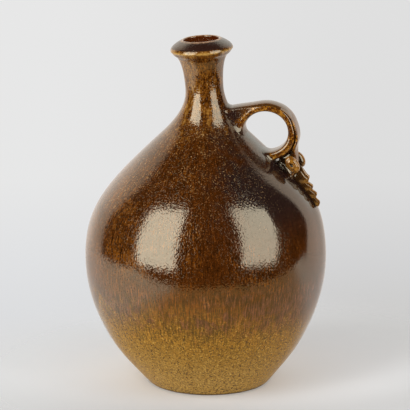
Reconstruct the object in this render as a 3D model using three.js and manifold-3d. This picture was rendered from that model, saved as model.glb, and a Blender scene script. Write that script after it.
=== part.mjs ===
// Stoneware carafe: a thrown round body, a neck with a mushroom lip luted to its collar, a ring handle
// curled from a pulled strap, and a tail with scrolls and overlapping leaves down the shoulder.
// Millimetres and degrees. Z is up, the foot stands on Z = 0, and the handle is on +X.
import * as THREE from 'three';
import { mergeVertices } from 'three/addons/utils/BufferGeometryUtils.js';
import Module from 'manifold-3d';

const wasm = await Module();
wasm.setup();

// Thrown body. Each rise is measured from the height named before it.
const FOOT_RADIUS = 42.2;
const FOOT_RIM_WIDTH = 8;
const FOOT_RECESS = 2;
const FOOT_ROUNDING = 4;
const FOOT_SLOPE = 58;
const BELLY_RADIUS = 76.5;
const BELLY_HEIGHT = 81.6;
const SHOULDER_RADIUS = 27.8;
const SHOULDER_RISE = 79.6;
const SHOULDER_SLOPE = 44;
const WAIST_RADIUS = 12;
const WAIST_RISE = 29;
const BODY_WALL = 5;
const FLOOR_THICKNESS = 7;

// Fullness of the body's curves, as the lengths of their Bezier handles.
const FOOT_FULLNESS = 8.4;
const LOWER_BELLY_FULLNESS = 42.7;
const UPPER_BELLY_FULLNESS = 31.5;
const SHOULDER_FULLNESS = 49.5;
const COLLAR_FULLNESS = 4.7;
const WAIST_FULLNESS = 14;

// Neck and lip. The neck leans a little away from the handle, as the thrown one does.
const NECK_WALL = 4;
const FLARE_RADIUS = 17;
const FLARE_RISE = 21.5;
const FLARE_SLOPE = 30;
const FLARE_FULLNESS = 8.8;
const LIP_RADIUS = 19.8;
const LIP_EQUATOR_RISE = 3.5;
const LIP_CROWN_RISE = 6.3;
const LIP_CREASE = 0.5;
const LIP_UNDER_FULLNESS = 0.35;
const LIP_EDGE_FULLNESS = 0.45;
const LIP_DOME_FULLNESS = 0.72;
const MOUTH_RADIUS = 11;
const MOUTH_BEVEL = 0.9;
const LEAN_ANGLE = 4;
const LEAN_START_RISE = 5;

// Ring handle, a circle in the XZ plane that stands on the shoulder, stretched a little along X.
const SEAT_DROP = 4;
const RING_STANDOFF = 9.7;
const RING_BORE_RADIUS = 12.9;
const RING_STRETCH = 1.07;
const STRAP_THICKNESS = 4.7;
const STRAP_END_THICKNESS = 5.8;
const STRAP_WIDTH = 16;
const SECTION_SQUARENESS = 0.45;
const ROOT_WIDTH = 20;
const ROOT_WIDENS = [150, 195];
const WEB_SWELL = 14;
const WEB_SWELLS = [100, 160];
const WEB_CURVE = 1.6;
const RING_START = 200;
const RING_END = -84;

// Tail, from the outside of the ring to its foot on the shoulder. It twists a little on the way down.
const TAIL_START = 60;
const TAIL_LEAVE = -22;
const TAIL_TIP_THICKNESS = 0.8;
const TAIL_LEAVE_THICKNESS = 3.8;
const TAIL_FOOT_THICKNESS = 5;
const TAIL_RISE = 1.5;
const TAIL_RISES_FROM = 0.5;
const REBATE_RAMP = 2;
const REBATE_END = 40;
const TAIL_INSET = 0.5;
const TAIL_FOOT_WIDTH = 9;
const TAIL_FOOT_RUN = 6.6;
const TAIL_TWIST = 7;

// Scroll lobes, one on each side of the tail.
const SCROLL_LENGTH = 11.4;
const SCROLL_HEIGHT = 8;
const SCROLL_WIDTH = 6;
const SCROLL_FACE_RADIUS = 1.8;
const SCROLL_PIT_RADIUS = 1.3;
const SCROLL_PIT_BEVEL = 0.3;
const SCROLL_PIT_DEPTH = 2.2;
const SCROLL_PLACE = 0.56;
const SCROLL_TILT = -56;

// Leaves, each with its length along the shoulder, half width, and thickness at its root and its crest.
// The other sizes are shares of a leaf's own length, width or thickness, except the lifts and the overlap.
const LEAVES = [
  { name: 'leaf_1', length: 7.2, halfWidth: 5.4, root: 8.2, crest: 7.6 },
  { name: 'leaf_2', length: 6.6, halfWidth: 4.6, root: 1.7, crest: 5 },
  { name: 'leaf_3', length: 6, halfWidth: 4, root: 1.7, crest: 4.8 },
  { name: 'leaf_tip', length: 6.4, halfWidth: 3.2, root: 1.7, crest: 4.6, whole: true },
];
const LEAF_OVERLAP = 1.3;
const LEAF_LIFT = 2.4;
const LEAF_NARROW = 0.55;
const LEAF_CREST_AT = 0.75;
const LEAF_TIP_DROP = 0.2;
const LEAF_FREE_FROM = 0.5;
const LEAF_SCALLOP = 0.14;
const LEAF_FALL = 0.6;
const LEAF_FALL_CURVE = 1.5;
const LEAF_EDGE_LIFT = 2;

// Clearance where luted pieces meet.
const LUTE_GAP = 0.3;
const LEAF_CLEARANCE = 0.5;

const TURN_SEGMENTS = 44;
const BODY_STEPS = 8;
const INNER_STEPS = 5;
const LIP_STEPS = 4;
const STRAP_STEPS = 17;
const STRAP_SIDES = 20;
const TAIL_STEPS = 16;
const TAIL_SIDES = 14;
const SCROLL_STEPS = 8;
const SCROLL_SEGMENTS = 20;
const LEAF_STEPS = 8;
const BLADE_STEPS = 5;

const rad = THREE.MathUtils.degToRad;
const smooth = THREE.MathUtils.smoothstep;
const mix = THREE.MathUtils.lerp;
const clamp = THREE.MathUtils.clamp;
const vec2 = (x, y) => new THREE.Vector2(x, y);
const vec3 = (x, y, z) => new THREE.Vector3(x, y, z);
const polar = (angle, length) => vec2(Math.cos(rad(angle)) * length, Math.sin(rad(angle)) * length);

const shoulderHeight = BELLY_HEIGHT + SHOULDER_RISE;
const waistHeight = shoulderHeight + WAIST_RISE;
const flareHeight = waistHeight + FLARE_RISE;
const equatorHeight = flareHeight + LIP_EQUATOR_RISE;
const mouthHeight = equatorHeight + LIP_CROWN_RISE;
const leanStart = shoulderHeight + LEAN_START_RISE;

// The body's outer profile, as curves of (radius, height) from the foot up to the waist of the neck.
function bodyProfile() {
  const foot = vec2(FOOT_RADIUS, FOOT_ROUNDING);
  const belly = vec2(BELLY_RADIUS, BELLY_HEIGHT);
  const shoulder = vec2(SHOULDER_RADIUS, shoulderHeight);
  const waist = vec2(WAIST_RADIUS, waistHeight);
  const profile = new THREE.CurvePath();
  profile.add(new THREE.CubicBezierCurve(
    foot,
    foot.clone().add(polar(FOOT_SLOPE, FOOT_FULLNESS)),
    vec2(BELLY_RADIUS, BELLY_HEIGHT - LOWER_BELLY_FULLNESS),
    belly,
  ));
  profile.add(new THREE.CubicBezierCurve(
    belly,
    vec2(BELLY_RADIUS, BELLY_HEIGHT + UPPER_BELLY_FULLNESS),
    shoulder.clone().add(polar(-SHOULDER_SLOPE, SHOULDER_FULLNESS)),
    shoulder,
  ));
  profile.add(new THREE.CubicBezierCurve(
    shoulder,
    shoulder.clone().add(polar(180 - SHOULDER_SLOPE, COLLAR_FULLNESS)),
    vec2(WAIST_RADIUS, waistHeight - WAIST_FULLNESS),
    waist,
  ));
  return profile;
}

const bodyOuter = bodyProfile();

const neckFlare = new THREE.CubicBezierCurve(
  vec2(WAIST_RADIUS, waistHeight),
  vec2(WAIST_RADIUS, waistHeight + FLARE_FULLNESS),
  vec2(FLARE_RADIUS, flareHeight).sub(polar(FLARE_SLOPE, FLARE_FULLNESS / 2)),
  vec2(FLARE_RADIUS, flareHeight),
);

// Points of a profile moved sideways by an offset that may change with height; outward is positive.
function offsetPoints(curve, steps, offsetAt) {
  const points = [];
  for (let i = 0; i <= steps; i += 1) {
    const point = curve.getPoint(i / steps);
    const along = curve.getTangent(i / steps);
    const offset = offsetAt(point.y);
    points.push(vec2(point.x + along.y * offset, point.y - along.x * offset));
  }
  return points;
}

function profilePoints(curves, steps, offsetAt) {
  return curves.flatMap((curve, i) => offsetPoints(curve, steps, offsetAt).slice(i === 0 ? 0 : 1));
}

function wallAt(height) {
  return mix(BODY_WALL, NECK_WALL, smooth(height, shoulderHeight, waistHeight));
}

// Leaning of the collar and neck: the axis bends over between the lean's start and the waist.
function leanAxis(height) {
  const span = waistHeight - leanStart;
  const share = clamp((height - leanStart) / span, 0, 1);
  const bent = span * (share ** 3 - share ** 4 / 2);
  return -rad(LEAN_ANGLE) * (bent + Math.max(0, height - waistHeight));
}

function lean(geometry) {
  const position = geometry.getAttribute('position');
  for (let i = 0; i < position.count; i += 1) {
    const x = position.getX(i);
    const z = position.getZ(i);
    const angle = rad(LEAN_ANGLE) * smooth(z, leanStart, waistHeight);
    position.setX(i, leanAxis(z) + x * Math.cos(angle));
    position.setZ(i, z + x * Math.sin(angle));
  }
  return geometry;
}

// A solid turned about Z from a profile that starts and ends on the axis.
function turned(points) {
  const geometry = new THREE.LatheGeometry(points, TURN_SEGMENTS);
  geometry.rotateX(Math.PI / 2);
  return lean(geometry);
}

function closedSolid(vertices, triangles) {
  const geometry = new THREE.BufferGeometry();
  const position = vertices.flatMap((vertex) => vertex.toArray());
  geometry.setAttribute('position', new THREE.Float32BufferAttribute(position, 3));
  geometry.setIndex(triangles.flat());
  geometry.computeVertexNormals();
  return geometry;
}

// A solid through a row of closed rings of points. A strip between the ring's two sides closes each end.
function lofted(rings) {
  const sides = rings[0].length;
  const triangles = [];
  for (let i = 0; i + 1 < rings.length; i += 1) {
    for (let k = 0; k < sides; k += 1) {
      const a = i * sides + k;
      const b = i * sides + ((k + 1) % sides);
      triangles.push([a, b, b + sides], [a, b + sides, a + sides]);
    }
  }
  const lastRing = (rings.length - 1) * sides;
  for (let k = 0; k + 1 < sides / 2; k += 1) {
    const across = sides - 1 - k;
    triangles.push([k + 1, k, across], [k + 1, across, across - 1]);
    const [a, b, c, d] = [k, k + 1, across - 1, across].map((corner) => lastRing + corner);
    triangles.push([a, b, d], [b, c, d]);
  }
  return closedSolid(rings.flat(), triangles);
}

// A solid between an upper and a lower skin, both functions of (u, v) from 0 to 1.
function betweenSkins(upper, lower, uSteps, vSteps) {
  const rings = [];
  for (let i = 0; i <= uSteps; i += 1) {
    const over = [];
    const under = [];
    for (let j = 0; j <= vSteps; j += 1) {
      over.push(upper(i / uSteps, j / vSteps));
      under.push(lower(i / uSteps, j / vSteps));
    }
    rings.push([...over, ...under.reverse()]);
  }
  return lofted(rings);
}

function toManifold(geometry) {
  const bare = new THREE.BufferGeometry();
  bare.setAttribute('position', geometry.getAttribute('position'));
  bare.setIndex(geometry.getIndex());
  const merged = mergeVertices(bare, 1e-4);
  return new wasm.Manifold(new wasm.Mesh({
    numProp: 3,
    vertProperties: new Float32Array(merged.getAttribute('position').array),
    triVerts: new Uint32Array(merged.getIndex().array),
  }));
}

function trimmed(geometry, ...cutters) {
  const solid = cutters.reduce((rest, cutter) => rest.subtract(toManifold(cutter)), toManifold(geometry));
  const mesh = solid.getMesh();
  const result = new THREE.BufferGeometry();
  result.setAttribute('position', new THREE.BufferAttribute(mesh.vertProperties, 3));
  result.setIndex(new THREE.BufferAttribute(mesh.triVerts, 1));
  result.computeVertexNormals();
  return result;
}

// Rounded strap section: turn 0 to 1 runs round it, giving a width share and a depth share of -1 to 1.
function strapSection(turn) {
  const angle = turn * 2 * Math.PI;
  const square = (value) => Math.sign(value) * Math.abs(value) ** SECTION_SQUARENESS;
  return vec2(square(Math.cos(angle)), square(Math.sin(angle)));
}

function bodyGeometry() {
  const outer = profilePoints(bodyOuter.curves, BODY_STEPS, () => 0);
  const inner = profilePoints(bodyOuter.curves, INNER_STEPS, (height) => -wallAt(height));
  const cavity = inner.filter((point) => point.y > FLOOR_THICKNESS + BODY_WALL / 2);
  const rimOuter = FOOT_RADIUS - FOOT_ROUNDING;
  const rimInner = rimOuter - FOOT_RIM_WIDTH;
  const rounding = new THREE.QuadraticBezierCurve(
    vec2(rimOuter, 0),
    vec2(FOOT_RADIUS - FOOT_ROUNDING / Math.tan(rad(FOOT_SLOPE)), 0),
    outer[0],
  );
  return turned([
    vec2(0, FOOT_RECESS),
    vec2(rimInner - FOOT_RECESS, FOOT_RECESS),
    vec2(rimInner, 0),
    ...rounding.getPoints(LIP_STEPS),
    ...outer.slice(1),
    ...cavity.reverse(),
    vec2(FOOT_RADIUS - BODY_WALL / 2, FLOOR_THICKNESS),
    vec2(0, FLOOR_THICKNESS),
  ]);
}

// Lip: rolled from the crease under it, over its equator and the domed top, to the mouth.
function lipPoints() {
  const equator = vec2(LIP_RADIUS, equatorHeight);
  const crease = vec2(FLARE_RADIUS + LIP_CREASE, flareHeight + LIP_CREASE);
  const mouth = vec2(MOUTH_RADIUS + MOUTH_BEVEL, mouthHeight);
  const under = new THREE.QuadraticBezierCurve(
    crease,
    vec2(LIP_RADIUS, mix(crease.y, equator.y, LIP_UNDER_FULLNESS)),
    equator,
  );
  const over = new THREE.CubicBezierCurve(
    equator,
    vec2(LIP_RADIUS, mix(equator.y, mouth.y, LIP_EDGE_FULLNESS)),
    vec2((mouth.x + LIP_RADIUS) / 2, mix(equator.y, mouth.y, LIP_DOME_FULLNESS)),
    mouth,
  );
  return [...under.getPoints(LIP_STEPS), ...over.getPoints(2 * LIP_STEPS).slice(1)];
}

function neckGeometry() {
  const boreRadius = WAIST_RADIUS - NECK_WALL;
  const mouthEdge = vec2(MOUTH_RADIUS, mouthHeight - MOUTH_BEVEL);
  const bore = new THREE.CubicBezierCurve(
    mouthEdge,
    vec2(MOUTH_RADIUS, mouthHeight - LIP_CROWN_RISE - MOUTH_BEVEL),
    vec2(boreRadius, flareHeight - FLARE_RISE / 3),
    vec2(boreRadius, waistHeight),
  );
  const flare = neckFlare.getPoints(BODY_STEPS);
  return turned([...flare, ...lipPoints(), ...bore.getPoints(BODY_STEPS), flare[0]]);
}

// The vessel's outside grown by a clearance, as a filled solid for trimming what is luted to it.
function vesselEnvelope(clearance) {
  const wall = profilePoints([...bodyOuter.curves, neckFlare], BODY_STEPS, () => clearance);
  const top = wall[wall.length - 1];
  return turned([vec2(0, wall[0].y), ...wall, vec2(0, top.y)]);
}

// The place on the body's profile at a height, as the share of its length from the foot.
function shareAtHeight(height) {
  let low = 0;
  let high = 1;
  for (let i = 0; i < 40; i += 1) {
    const middle = (low + high) / 2;
    if (bodyOuter.getPoint(middle).y < height) {
      low = middle;
    } else {
      high = middle;
    }
  }
  return low;
}

const profileLength = bodyOuter.getLength();
const seatShare = shareAtHeight(shoulderHeight - SEAT_DROP);

// A point on the shoulder: run down the profile from the handle's seat, aside along Y, and height off it.
function onShoulder(run, aside, height) {
  const share = seatShare - run / profileLength;
  const point = bodyOuter.getPoint(share);
  const along = bodyOuter.getTangent(share);
  const angle = aside / point.x;
  const radius = point.x + along.y * height;
  return vec3(Math.cos(angle) * radius, Math.sin(angle) * radius, point.y - along.x * height);
}

const ringCentre = onShoulder(0, 0, RING_STANDOFF);

// The tail's foot, down the shoulder past the middle of the strap and the length of a scroll.
const strapRun = Math.sqrt((RING_BORE_RADIUS + STRAP_THICKNESS / 2) ** 2 - RING_STANDOFF ** 2);
const tailFootRun = strapRun + SCROLL_LENGTH + TAIL_FOOT_RUN;

function onRing(angle, radius, aside) {
  const spoke = polar(angle, radius);
  return vec3(ringCentre.x + spoke.x * RING_STRETCH, aside, ringCentre.z + spoke.y);
}

// The tail's share of its way round the ring, and its thickness there.
const tailShare = (angle) => (TAIL_START - angle) / (TAIL_START - TAIL_LEAVE);
const tailThickness = (share) => mix(TAIL_TIP_THICKNESS, TAIL_LEAVE_THICKNESS, smooth(share, 0, 1));

// The strap is rebated where the tail lies on it, so that the tail starts flush with the strap's outside.
function strapThickness(angle) {
  const share = clamp(tailShare(angle), 0, 1);
  const rise = TAIL_RISE * smooth(share, TAIL_RISES_FROM, 1);
  const rebate = tailThickness(share) + LUTE_GAP - rise;
  const covered = smooth(angle, TAIL_LEAVE - REBATE_END, TAIL_LEAVE) * (angle > TAIL_START ? 0 : 1);
  return mix(STRAP_THICKNESS, STRAP_END_THICKNESS, share) - rebate * covered;
}

// The strap's section at an angle. A web swells its middle up to the collar, and its root widens.
function strapRing(angle) {
  const [webStart, webEnd] = WEB_SWELLS;
  const swell = WEB_SWELL * clamp((angle - webStart) / (webEnd - webStart), 0, 1) ** WEB_CURVE;
  const halfWidth = mix(STRAP_WIDTH, ROOT_WIDTH, smooth(angle, ...ROOT_WIDENS)) / 2;
  const ring = [];
  for (let k = 0; k < STRAP_SIDES; k += 1) {
    const section = strapSection(k / STRAP_SIDES);
    const depth = (section.y + 1) / 2;
    const web = swell * Math.max(0, section.y) * (1 - section.x ** 2);
    ring.push(onRing(angle, RING_BORE_RADIUS + strapThickness(angle) * depth + web, section.x * halfWidth));
  }
  return ring;
}

function strapGeometry(envelope) {
  const angles = [TAIL_START + REBATE_RAMP];
  for (let i = 0; i <= STRAP_STEPS; i += 1) {
    angles.push(mix(RING_START, TAIL_START, i / STRAP_STEPS), mix(TAIL_START, RING_END, i / STRAP_STEPS));
  }
  const order = [...new Set(angles)].sort((a, b) => b - a);
  return trimmed(lofted(order.map(strapRing)), envelope);
}

// The tail's free run, as a curve of (x, z) from where it leaves the ring to its foot.
function tailRun() {
  const radius = RING_BORE_RADIUS + strapThickness(TAIL_LEAVE) + LUTE_GAP + TAIL_LEAVE_THICKNESS / 2;
  const leave = onRing(TAIL_LEAVE, radius, 0);
  const foot = onShoulder(tailFootRun, 0, -TAIL_FOOT_THICKNESS / 2);
  const above = onShoulder(tailFootRun, 0, RING_STANDOFF);
  const heading = polar(TAIL_LEAVE - 90, RING_STANDOFF);
  return new THREE.CubicBezierCurve(
    vec2(leave.x, leave.z),
    vec2(leave.x, leave.z).add(heading),
    vec2(above.x, above.z),
    vec2(foot.x, foot.z),
  );
}

const tailCurve = tailRun();
const scrollTop = SCROLL_PLACE - SCROLL_LENGTH / 2 / tailCurve.getLength();
const twistAt = (share) => rad(TAIL_TWIST) * smooth(share, 0, scrollTop);

// A section of the tail at a centre (x, z), with its outward direction, and turned about Z by the twist.
function tailRing(centre, out, thickness, width, twist) {
  const ring = [];
  for (let k = 0; k < TAIL_SIDES; k += 1) {
    const section = strapSection(k / TAIL_SIDES);
    const depth = section.y * thickness / 2;
    const aside = section.x * width / 2;
    const offset = vec3(out.x * depth, aside, out.y * depth).applyAxisAngle(vec3(0, 0, 1), -twist);
    ring.push(offset.add(vec3(centre.x, 0, centre.y)));
  }
  return ring;
}

function tailGeometry(envelope) {
  const startWidth = STRAP_WIDTH - 2 * TAIL_INSET;
  const rings = [];
  for (let i = 0; i < TAIL_STEPS; i += 1) {
    const share = i / TAIL_STEPS;
    const angle = mix(TAIL_START, TAIL_LEAVE, share);
    const thickness = tailThickness(share);
    const centre = onRing(angle, RING_BORE_RADIUS + strapThickness(angle) + LUTE_GAP + thickness / 2, 0);
    rings.push(tailRing(vec2(centre.x, centre.z), polar(angle, 1), thickness, startWidth, 0));
  }
  for (let i = 0; i <= TAIL_STEPS; i += 1) {
    const share = i / TAIL_STEPS;
    const along = tailCurve.getTangent(share);
    const width = mix(startWidth, TAIL_FOOT_WIDTH, smooth(share, 0, scrollTop));
    const thickness = mix(TAIL_LEAVE_THICKNESS, TAIL_FOOT_THICKNESS, share);
    const centre = tailCurve.getPoint(share);
    rings.push(tailRing(centre, vec2(-along.y, along.x), thickness, width, twistAt(share)));
  }
  return trimmed(lofted(rings), envelope);
}

// A scroll lobe: a rounded button with a pit in its outer face, longer down the slope than across it.
function scrollGeometry() {
  const half = SCROLL_WIDTH / 2;
  const edge = [];
  for (let i = 0; i <= SCROLL_STEPS; i += 1) {
    const angle = mix(-90, 90, i / SCROLL_STEPS);
    const round = mix(SCROLL_FACE_RADIUS, SCROLL_HEIGHT / 2, Math.cos(rad(angle)));
    edge.push(vec2(round, half * Math.sin(rad(angle))));
  }
  const pit = [vec2(SCROLL_PIT_RADIUS, half - SCROLL_PIT_BEVEL), vec2(0, half - SCROLL_PIT_DEPTH)];
  const geometry = new THREE.LatheGeometry([vec2(0, -half), ...edge, ...pit], SCROLL_SEGMENTS);
  geometry.scale(SCROLL_LENGTH / SCROLL_HEIGHT, 1, 1);
  return geometry;
}

// A leaf or half leaf over the shares of its width from first to last: 1 is its far edge, -1 its near edge.
// It can be grown on all sides by a clearance, to trim the leaf that lies over it.
function leafGeometry(leaf, first, last, grow = 0) {
  const split = Math.sign(first + last) * LUTE_GAP / 2;
  const length = leaf.length + 2 * grow;
  const acrossAt = (v) => mix(first, last, v);
  const widthAt = (u) => leaf.halfWidth * mix(LEAF_NARROW, 1, Math.sin(Math.PI * u));
  const foldAt = (u, v) => Math.min(1, Math.abs(acrossAt(v)) * (1 + grow / widthAt(u)));
  const scallopAt = (v) => 1 + LEAF_SCALLOP * Math.sin(Math.PI * Math.abs(acrossAt(v)));
  const dropAt = (u) => 1 - LEAF_TIP_DROP * smooth(u, LEAF_CREST_AT, 1);
  const crestAt = (u) => mix(leaf.root, leaf.crest, smooth(u, 0, LEAF_CREST_AT)) * dropAt(u);
  const liftAt = (u) => LEAF_LIFT * smooth(u, LEAF_FREE_FROM, 1);
  const undersideAt = (u, v) => LUTE_GAP + liftAt(u) + LEAF_EDGE_LIFT * foldAt(u, v) ** 2;
  const thicknessAt = (u, v) => (crestAt(u) - liftAt(u)) * (1 - LEAF_FALL * foldAt(u, v) ** LEAF_FALL_CURVE);
  const place = (u, v, height) => onShoulder(
    leaf.start - grow + length * u * scallopAt(v),
    split + acrossAt(v) * (widthAt(u) + grow),
    height,
  );
  const upper = (u, v) => place(u, v, undersideAt(u, v) + thicknessAt(u, v) + grow);
  const lower = (u, v) => place(u, v, grow > 0 ? -grow : undersideAt(u, v));
  return betweenSkins(upper, lower, LEAF_STEPS, first - last > 1 ? 2 * BLADE_STEPS : BLADE_STEPS);
}

function glaze(color, roughness) {
  return new THREE.MeshStandardMaterial({ color, roughness, metalness: 0 });
}

const bodyGlaze = glaze('#5a2c12', 0.2);
const neckGlaze = glaze('#6b3a17', 0.2);
const handleGlaze = glaze('#8f5a1e', 0.25);
const sprigGlaze = glaze('#a8752c', 0.3);

const carafe = new THREE.Group();

function addPiece(name, geometry, material) {
  const mesh = new THREE.Mesh(geometry, material);
  mesh.name = name;
  carafe.add(mesh);
  return mesh;
}

addPiece('body', bodyGeometry(), bodyGlaze);
addPiece('neck', neckGeometry(), neckGlaze);

const envelope = vesselEnvelope(LUTE_GAP);
addPiece('handle_strap', strapGeometry(envelope), handleGlaze);
addPiece('handle_tail', tailGeometry(envelope), handleGlaze);

// The scrolls turn with the tail's twist, one on each side of it.
const scrollCentre = tailCurve.getPoint(SCROLL_PLACE);
const scrolls = new THREE.Group();
scrolls.position.set(scrollCentre.x, 0, scrollCentre.y);
scrolls.rotation.z = -twistAt(SCROLL_PLACE);
carafe.add(scrolls);
for (const [name, side] of [['scroll_near', -1], ['scroll_far', 1]]) {
  const scroll = addPiece(name, scrollGeometry(), sprigGlaze);
  scroll.position.y = side * ((TAIL_FOOT_WIDTH + SCROLL_WIDTH) / 2 + LUTE_GAP);
  scroll.rotation.y = -rad(SCROLL_TILT);
  if (side < 0) {
    scroll.rotateX(Math.PI);
  }
  scrolls.add(scroll);
}

// Each leaf starts under the end of the one above it, and the upper one is trimmed to lie on it.
let leafStart = tailFootRun + TAIL_FOOT_THICKNESS / 2 + LUTE_GAP;
const row = LEAVES.map((leaf) => {
  const placed = { ...leaf, start: leafStart };
  leafStart += leaf.length - LEAF_OVERLAP;
  return placed;
});
row.forEach((leaf, i) => {
  const cutters = row.slice(i + 1, i + 2).map((next) => leafGeometry(next, 1, -1, LEAF_CLEARANCE));
  const blades = leaf.whole ? [['', 1, -1]] : [['_near', 0, -1], ['_far', 1, 0]];
  for (const [suffix, first, last] of blades) {
    addPiece(leaf.name + suffix, trimmed(leafGeometry(leaf, first, last), ...cutters), sprigGlaze);
  }
});

export default carafe;
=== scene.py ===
"""Stoneware carafe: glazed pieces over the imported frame, with a floor, studio light and camera.

Sizes are in millimetres, as in the part's source, until a mesh is made.
Z is up and the handle is on +X.
"""
import math

import bpy
import numpy as np
from mathutils import Matrix


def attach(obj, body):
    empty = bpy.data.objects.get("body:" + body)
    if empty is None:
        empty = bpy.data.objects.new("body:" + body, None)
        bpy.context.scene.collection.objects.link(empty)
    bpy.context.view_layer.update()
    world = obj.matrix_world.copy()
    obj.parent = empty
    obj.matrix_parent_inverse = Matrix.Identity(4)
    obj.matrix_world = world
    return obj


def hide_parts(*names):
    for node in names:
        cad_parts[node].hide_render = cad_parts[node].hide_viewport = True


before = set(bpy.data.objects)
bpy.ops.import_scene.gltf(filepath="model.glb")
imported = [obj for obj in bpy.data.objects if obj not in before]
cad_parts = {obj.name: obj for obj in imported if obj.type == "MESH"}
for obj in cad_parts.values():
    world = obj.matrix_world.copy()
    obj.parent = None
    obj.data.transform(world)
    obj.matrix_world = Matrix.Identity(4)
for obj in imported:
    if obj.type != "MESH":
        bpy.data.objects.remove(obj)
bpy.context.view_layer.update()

METRES = 0.001

# Thrown body, neck and lip.
FOOT_RADIUS, FOOT_RIM_WIDTH, FOOT_RECESS, FOOT_ROUNDING = 42.2, 8.0, 2.0, 4.0
FOOT_SLOPE, SHOULDER_SLOPE, FLARE_SLOPE = 58.0, 44.0, 30.0
BELLY_RADIUS, BELLY_HEIGHT = 76.5, 81.6
SHOULDER_RADIUS, SHOULDER_HEIGHT = 27.8, 161.2
WAIST_RADIUS, WAIST_HEIGHT = 12.0, 190.2
BODY_WALL, NECK_WALL, FLOOR_THICKNESS = 5.0, 4.0, 7.0
FOOT_FULLNESS, LOWER_BELLY_FULLNESS, UPPER_BELLY_FULLNESS = 8.4, 42.7, 31.5
SHOULDER_FULLNESS, COLLAR_FULLNESS, WAIST_FULLNESS, FLARE_FULLNESS = 49.5, 4.7, 14.0, 8.8
FLARE_RADIUS, FLARE_HEIGHT = 17.0, 211.7
LIP_RADIUS, LIP_EQUATOR = 19.8, 215.2
ARRIS_DROP, ARRIS_UNDER, ARRIS_OVER = 0.3, (-0.5, -0.6), (-0.12, 0.6)
DOME_SLOPE, DOME_FULLNESS, DOME_HEIGHT = 104.0, 2.2, 0.74
MOUTH_RADIUS, MOUTH_HEIGHT, MOUTH_BEVEL = 11.0, 221.5, 0.9
MOUTH_FULLNESS, BORE_FULLNESS = 7.2, 7.0
# How far the glaze breaks at the mouth's rim, point by point, and how many come before it.
MOUTH_EDGE_BEFORE = 6
MOUTH_EDGE = (0.2, 0.5, 0.8, 1.0, 1.0, 1.0, 1.0, 1.0, 0.9, 0.6, 0.25)
LEAN_ANGLE, LEAN_START, LEAN_ROUNDS = math.radians(4.0), 166.2, 6
FOOT_DRIFT, FOOT_DRIFT_HEIGHT, FOOT_CURVE_HEIGHT = 1.9, 60.0, 9.0
FOOT_BULGE, FOOT_BULGE_HEIGHT, FOOT_BULGE_SPREAD = 0.6, 24.0, 13.0
SHOULDER_SWELL, SWELL_HEIGHT, SWELL_SPREAD = 1.6, 122.0, 22.0
SWELLS_OUTWARDS, SWELLS_UPWARDS = (15.0, 60.0), (84.0, 112.0)

# Ring handle and tail. Places round the ring are in degrees.
SEAT_DROP, RING_STANDOFF, RING_BORE_RADIUS, RING_STRETCH = 4.0, 9.7, 12.9, 1.07
RING_START, RING_END = 204.0, -94.0
STRAP_THICKNESS, STRAP_END_THICKNESS, STRAP_WIDTH, ROOT_WIDTH = 4.7, 5.8, 16.0, 20.0
ROOT_WIDENS, ROOT_SWELL, ROOT_SWELLS = (150.0, 195.0), 2.4, (140.0, 195.0)
WEB_SWELL, WEB_SWELLS, WEB_CURVE, WEB_EDGES = 14.0, (100.0, 160.0), 2.4, (0.99, 0.90)
STRAP_CROWN, CROWN_RISES, STRAP_FILLET, FACE_SHARPNESS = 1.2, (0.0, 70.0), 2.6, 4.0
GROOVE_DEPTH, GROOVE_PLACE, GROOVE_WIDTH = 0.2, 0.82, 0.07
TAIL_START, TAIL_LEAVE, TAIL_FOOT_RUN, TAIL_POINTS = 60.0, -22.0, 6.6, 200
TAIL_TIP_THICKNESS, TAIL_LEAVE_THICKNESS, TAIL_FOOT_THICKNESS = 0.15, 2.0, 4.4
TAIL_RISE, TAIL_RISES_FROM, TAIL_PRESS = 1.5, 0.5, 0.35
REBATE_BEFORE, REBATE_AFTER, REBATE_END = 8.0, 2.0, 40.0
TAIL_INSET, TAIL_FOOT_WIDTH, TAIL_FOOT_CROWN, TAIL_FILLET = 0.2, 9.0, 0.4, 1.6
TAIL_FILL, TAIL_FILL_NARROWS = 9.0, 0.3
TAIL_TWIST = math.radians(7.0)

# Scrolls and leaves. A leaf has its length, half width, and height at the root and the crest.
SCROLL_LENGTH, SCROLL_HEIGHT, SCROLL_WIDTH, SCROLL_GAP = 11.4, 8.0, 6.0, 0.1
SCROLL_FACE_RADIUS, SCROLL_PIT_RADIUS, SCROLL_PIT_DEPTH = 1.1, 0.8, 0.8
SCROLL_PLACE, SCROLL_TILT, SCROLL_SIDES = 0.56, math.radians(56.0), 64
WIND_PITCH, WIND_WIDTH, WIND_DEPTH = 1.7, 0.16, 0.28
LEAVES = (
    ("leaf_1", 7.2, 5.2, 9.2, 8.4),
    ("leaf_2", 6.6, 4.2, 4.6, 6.2),
    ("leaf_3", 6.3, 3.3, 3.6, 5.2),
    ("leaf_tip", 6.6, 2.2, 2.8, 3.8),
)
LEAF_TUCK, LEAF_OVERLAP, LEAF_SPLIT, LEAF_NEAR_SHARE = 2.0, 1.3, 0.05, 0.48
LEAF_NARROW, LEAF_SCALLOP, LEAF_SEAT, LEAF_EDGE_LIFT = 0.55, 0.14, 0.05, 0.2
LEAF_CREST_AT, LEAF_TIP_DROP, LEAF_LIFT, LEAF_LIFTS_FROM = 0.75, 0.2, 0.72, 0.5
LEAF_FALL, LEAF_FALL_CURVE, LEAF_EDGE_SHARE = 0.6, 1.5, 0.45
LEAF_RIM_FROM, LEAF_TIP_FROM = 0.72, 0.80
VEIN_PLACE, VEIN_WIDTH, VEIN_DEPTH, FOLD_WIDTH, FOLD_DEPTH = 0.5, 0.09, 0.45, 0.10, 0.5
LUTE_GAP = 0.3

TURN_SEGMENTS, SHARP_ANGLE, CHUNK = 192, math.radians(55.0), 4000


def mix(a, b, share):
    return a + (b - a) * share


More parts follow.
